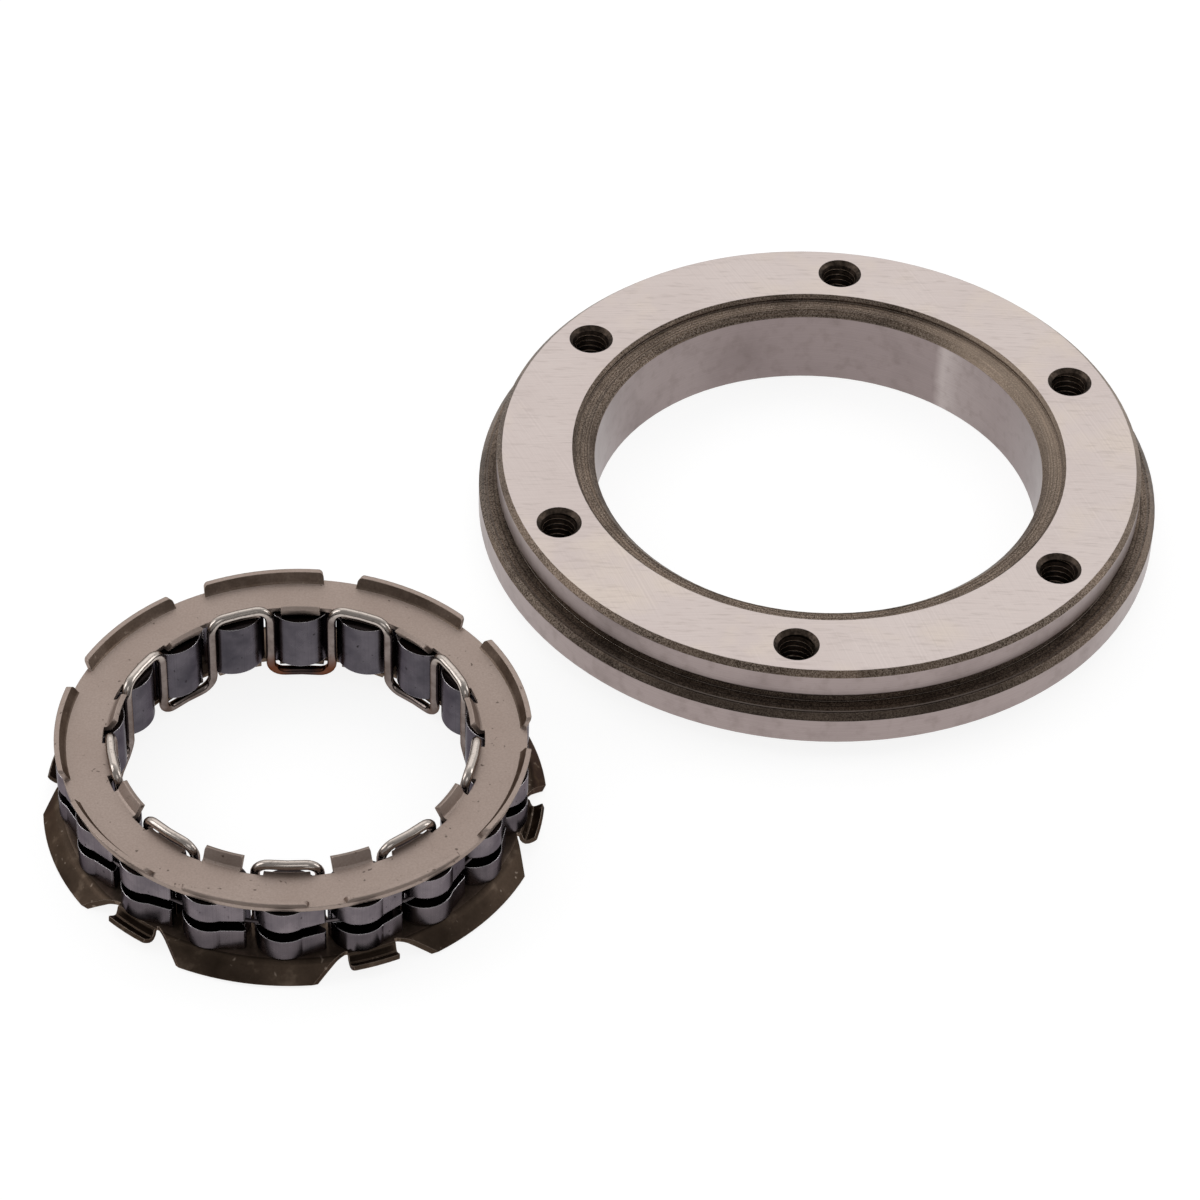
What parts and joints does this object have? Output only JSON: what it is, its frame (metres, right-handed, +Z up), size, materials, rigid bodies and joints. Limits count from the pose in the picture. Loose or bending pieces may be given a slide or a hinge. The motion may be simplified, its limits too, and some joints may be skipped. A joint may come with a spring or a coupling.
{
  "type": "starter one-way clutch",
  "caption": "Starter one-way clutch in two groups: a flanged outer race with tapped holes, and beside it a double-plate cage of tilting sprags with a meander wire spring.",
  "frame": {"origin": "on the outer race's bore axis, at the plane of the face it rests on; the cage lies beside it as in the picture", "axes": "+Z up along the race's bore axis, from the resting face to the ground top face; +Y away from the picture's camera"},
  "size_m": [0.2022, 0.1889, 0.0181],
  "materials": {
    "ground_steel": "ground, with dark oxide left on the unground steps",
    "cage_sheet": "matt, phosphated",
    "spring_wire": "bright drawn wire",
    "strand_steel": "dark",
    "sprag_steel": "satin, burnished"
  },
  "bodies": {
    "race": {"outer_race": "ground_steel"},
    "cage": {"upper_plate": "cage_sheet", "lower_plate": "cage_sheet", "meander_spring": "spring_wire", "energising_ring": "strand_steel"},
    "sprag_body_01": {"sprag_01": "sprag_steel"},
    "sprag_body_02": {"sprag_02": "sprag_steel"},
    "sprag_body_03": {"sprag_03": "sprag_steel"},
    "sprag_body_04": {"sprag_04": "sprag_steel"},
    "sprag_body_05": {"sprag_05": "sprag_steel"},
    "sprag_body_06": {"sprag_06": "sprag_steel"},
    "sprag_body_07": {"sprag_07": "sprag_steel"},
    "sprag_body_08": {"sprag_08": "sprag_steel"},
    "sprag_body_09": {"sprag_09": "sprag_steel"},
    "sprag_body_10": {"sprag_10": "sprag_steel"},
    "sprag_body_11": {"sprag_11": "sprag_steel"},
    "sprag_body_12": {"sprag_12": "sprag_steel"},
    "sprag_body_13": {"sprag_13": "sprag_steel"},
    "sprag_body_14": {"sprag_14": "sprag_steel"},
    "sprag_body_15": {"sprag_15": "sprag_steel"},
    "sprag_body_16": {"sprag_16": "sprag_steel"},
    "sprag_body_17": {"sprag_17": "sprag_steel"},
    "sprag_body_18": {"sprag_18": "sprag_steel"}
  },
  "joints": [
    {"name": "cage_lift", "type": "slide", "parent": "race", "child": "cage", "axis": [0, 0, 1], "range_m": [0, 0.03]},
    {"name": "sprag_tilt_01", "type": "hinge", "parent": "cage", "child": "sprag_body_01", "pos_m": [-0.09474, -0.0435, 0.00955], "axis": [0, 0, 1], "range_deg": [-5, 2], "stiffness_Nm_per_rad": 0.001},
    {"name": "sprag_tilt_02", "type": "hinge", "parent": "cage", "child": "sprag_body_02", "pos_m": [-0.10711, -0.04611, 0.00955], "axis": [0, 0, 1], "range_deg": [-5, 2], "stiffness_Nm_per_rad": 0.001},
    {"name": "sprag_tilt_03", "type": "hinge", "parent": "cage", "child": "sprag_body_03", "pos_m": [-0.11784, -0.05279, 0.00955], "axis": [0, 0, 1], "range_deg": [-5, 2], "stiffness_Nm_per_rad": 0.001},
    {"name": "sprag_tilt_04", "type": "hinge", "parent": "cage", "child": "sprag_body_04", "pos_m": [-0.12564, -0.06274, 0.00955], "axis": [0, 0, 1], "range_deg": [-5, 2], "stiffness_Nm_per_rad": 0.001},
    {"name": "sprag_tilt_05", "type": "hinge", "parent": "cage", "child": "sprag_body_05", "pos_m": [-0.12957, -0.07475, 0.00955], "axis": [0, 0, 1], "range_deg": [-5, 2], "stiffness_Nm_per_rad": 0.001},
    {"name": "sprag_tilt_06", "type": "hinge", "parent": "cage", "child": "sprag_body_06", "pos_m": [-0.12915, -0.08739, 0.00955], "axis": [0, 0, 1], "range_deg": [-5, 2], "stiffness_Nm_per_rad": 0.001},
    {"name": "sprag_tilt_07", "type": "hinge", "parent": "cage", "child": "sprag_body_07", "pos_m": [-0.12443, -0.09912, 0.00955], "axis": [0, 0, 1], "range_deg": [-5, 2], "stiffness_Nm_per_rad": 0.001},
    {"name": "sprag_tilt_08", "type": "hinge", "parent": "cage", "child": "sprag_body_08", "pos_m": [-0.11599, -0.10853, 0.00955], "axis": [0, 0, 1], "range_deg": [-5, 2], "stiffness_Nm_per_rad": 0.001},
    {"name": "sprag_tilt_09", "type": "hinge", "parent": "cage", "child": "sprag_body_09", "pos_m": [-0.10484, -0.11448, 0.00955], "axis": [0, 0, 1], "range_deg": [-5, 2], "stiffness_Nm_per_rad": 0.001},
    {"name": "sprag_tilt_10", "type": "hinge", "parent": "cage", "child": "sprag_body_10", "pos_m": [-0.09232, -0.11626, 0.00955], "axis": [0, 0, 1], "range_deg": [-5, 2], "stiffness_Nm_per_rad": 0.001},
    {"name": "sprag_tilt_11", "type": "hinge", "parent": "cage", "child": "sprag_body_11", "pos_m": [-0.07995, -0.11366, 0.00955], "axis": [0, 0, 1], "range_deg": [-5, 2], "stiffness_Nm_per_rad": 0.001},
    {"name": "sprag_tilt_12", "type": "hinge", "parent": "cage", "child": "sprag_body_12", "pos_m": [-0.06922, -0.10698, 0.00955], "axis": [0, 0, 1], "range_deg": [-5, 2], "stiffness_Nm_per_rad": 0.001},
    {"name": "sprag_tilt_13", "type": "hinge", "parent": "cage", "child": "sprag_body_13", "pos_m": [-0.06142, -0.09703, 0.00955], "axis": [0, 0, 1], "range_deg": [-5, 2], "stiffness_Nm_per_rad": 0.001},
    {"name": "sprag_tilt_14", "type": "hinge", "parent": "cage", "child": "sprag_body_14", "pos_m": [-0.05749, -0.08501, 0.00955], "axis": [0, 0, 1], "range_deg": [-5, 2], "stiffness_Nm_per_rad": 0.001},
    {"name": "sprag_tilt_15", "type": "hinge", "parent": "cage", "child": "sprag_body_15", "pos_m": [-0.05791, -0.07238, 0.00955], "axis": [0, 0, 1], "range_deg": [-5, 2], "stiffness_Nm_per_rad": 0.001},
    {"name": "sprag_tilt_16", "type": "hinge", "parent": "cage", "child": "sprag_body_16", "pos_m": [-0.06263, -0.06065, 0.00955], "axis": [0, 0, 1], "range_deg": [-5, 2], "stiffness_Nm_per_rad": 0.001},
    {"name": "sprag_tilt_17", "type": "hinge", "parent": "cage", "child": "sprag_body_17", "pos_m": [-0.07107, -0.05124, 0.00955], "axis": [0, 0, 1], "range_deg": [-5, 2], "stiffness_Nm_per_rad": 0.001},
    {"name": "sprag_tilt_18", "type": "hinge", "parent": "cage", "child": "sprag_body_18", "pos_m": [-0.08222, -0.04528, 0.00955], "axis": [0, 0, 1], "range_deg": [-5, 2], "stiffness_Nm_per_rad": 0.001}
  ],
  "couplings": [
    {"joint": "sprag_tilt_02", "follows": "sprag_tilt_01", "ratio": 1},
    {"joint": "sprag_tilt_03", "follows": "sprag_tilt_01", "ratio": 1},
    {"joint": "sprag_tilt_04", "follows": "sprag_tilt_01", "ratio": 1},
    {"joint": "sprag_tilt_05", "follows": "sprag_tilt_01", "ratio": 1},
    {"joint": "sprag_tilt_06", "follows": "sprag_tilt_01", "ratio": 1},
    {"joint": "sprag_tilt_07", "follows": "sprag_tilt_01", "ratio": 1},
    {"joint": "sprag_tilt_08", "follows": "sprag_tilt_01", "ratio": 1},
    {"joint": "sprag_tilt_09", "follows": "sprag_tilt_01", "ratio": 1},
    {"joint": "sprag_tilt_10", "follows": "sprag_tilt_01", "ratio": 1},
    {"joint": "sprag_tilt_11", "follows": "sprag_tilt_01", "ratio": 1},
    {"joint": "sprag_tilt_12", "follows": "sprag_tilt_01", "ratio": 1},
    {"joint": "sprag_tilt_13", "follows": "sprag_tilt_01", "ratio": 1},
    {"joint": "sprag_tilt_14", "follows": "sprag_tilt_01", "ratio": 1},
    {"joint": "sprag_tilt_15", "follows": "sprag_tilt_01", "ratio": 1},
    {"joint": "sprag_tilt_16", "follows": "sprag_tilt_01", "ratio": 1},
    {"joint": "sprag_tilt_17", "follows": "sprag_tilt_01", "ratio": 1},
    {"joint": "sprag_tilt_18", "follows": "sprag_tilt_01", "ratio": 1}
  ]
}
